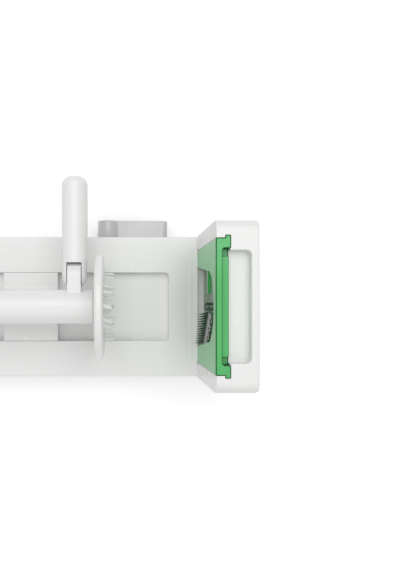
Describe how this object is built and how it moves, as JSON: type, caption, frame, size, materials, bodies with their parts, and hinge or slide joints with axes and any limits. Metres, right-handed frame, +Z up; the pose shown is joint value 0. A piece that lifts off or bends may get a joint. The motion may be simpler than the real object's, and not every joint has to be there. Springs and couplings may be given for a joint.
{
  "type": "crank spiralizer",
  "caption": "Hand-cranked table spiralizer: sliding carriage with crank and toothed food holder, blade cartridge in an upright housing, suction-cup base.",
  "frame": {"origin": "on the table plane under the middle of the suction cup", "axes": "+X along the feed towards the blades, +Y towards the side handle and suction lever, +Z up"},
  "size_m": [0.3723, 0.1761, 0.149],
  "materials": {
    "white_plastic": "smooth moulded plastic, soft gloss",
    "green_plastic": "translucent moulded plastic",
    "grey_plastic": "glossy grey plastic",
    "rubber": "matt rubber",
    "nylon": "natural nylon",
    "steel": "stainless steel",
    "screw_steel": "zinc-plated steel"
  },
  "bodies": {
    "base": {"base_shell": "white_plastic", "trough_stop": "white_plastic", "bottom_cover": "white_plastic", "cover_screws": "screw_steel", "rubber_foot_rear_right": "rubber", "rubber_foot_rear_left": "rubber", "rubber_foot_front_right": "rubber", "rubber_foot_front_left": "rubber", "blade_housing": "white_plastic", "housing_screws": "screw_steel", "suction_cup": "rubber", "cam_bracket": "nylon", "bracket_screws": "screw_steel", "lever_bush": "nylon"},
    "carriage": {"carriage_body": "white_plastic", "front_sleeve_bush": "nylon", "rear_sleeve_bush": "nylon"},
    "handle": {"side_handle": "white_plastic", "hinge_pin": "steel"},
    "crank": {"food_holder": "white_plastic", "holder_cross_pin": "steel", "crank_shaft": "steel", "retaining_ring": "steel", "crank_arm": "white_plastic", "crank_screw": "screw_steel", "knob_spindle": "steel", "knob_retaining_screw": "screw_steel"},
    "knob": {"crank_knob": "white_plastic", "knob_cap": "grey_plastic"},
    "cartridge": {"cartridge_frame": "green_plastic", "straight_blade": "steel", "blade_rivets": "steel", "comb_blades": "steel", "corer_ring": "steel"},
    "lever": {"suction_lever": "grey_plastic", "lever_shaft": "steel", "lever_screw": "screw_steel"},
    "plunger": {"plunger": "nylon"}
  },
  "joints": [
    {"name": "carriage_slide", "type": "slide", "parent": "base", "child": "carriage", "axis": [1, 0, 0], "range_m": [-0.0295, 0.07]},
    {"name": "crank_turn", "type": "hinge", "parent": "carriage", "child": "crank", "pos_m": [-0.1, 0, 0.095], "axis": [1, 0, 0], "continuous": true},
    {"name": "knob_turn", "type": "hinge", "parent": "crank", "child": "knob", "pos_m": [-0.234, 0, 0.025], "axis": [1, 0, 0], "continuous": true},
    {"name": "handle_fold", "type": "hinge", "parent": "carriage", "child": "handle", "pos_m": [-0.0263, 0.0275, 0.095], "axis": [1, 0, 0], "range_deg": [0, 90]},
    {"name": "lever_turn", "type": "hinge", "parent": "base", "child": "lever", "pos_m": [0, 0.074, 0.02], "axis": [0, -1, 0], "range_deg": [0, 90]},
    {"name": "plunger_lift", "type": "slide", "parent": "base", "child": "plunger", "axis": [0, 0, 1], "range_m": [-0.0025, 0], "deforming": ["suction_cup"]},
    {"name": "cartridge_lift", "type": "slide", "parent": "base", "child": "cartridge", "axis": [0, 0, 1], "range_m": [0, 0.115]}
  ],
  "couplings": [
    {"joint": "plunger_lift", "follows": "lever_turn", "m_per_rad": -0.0015915}
  ]
}
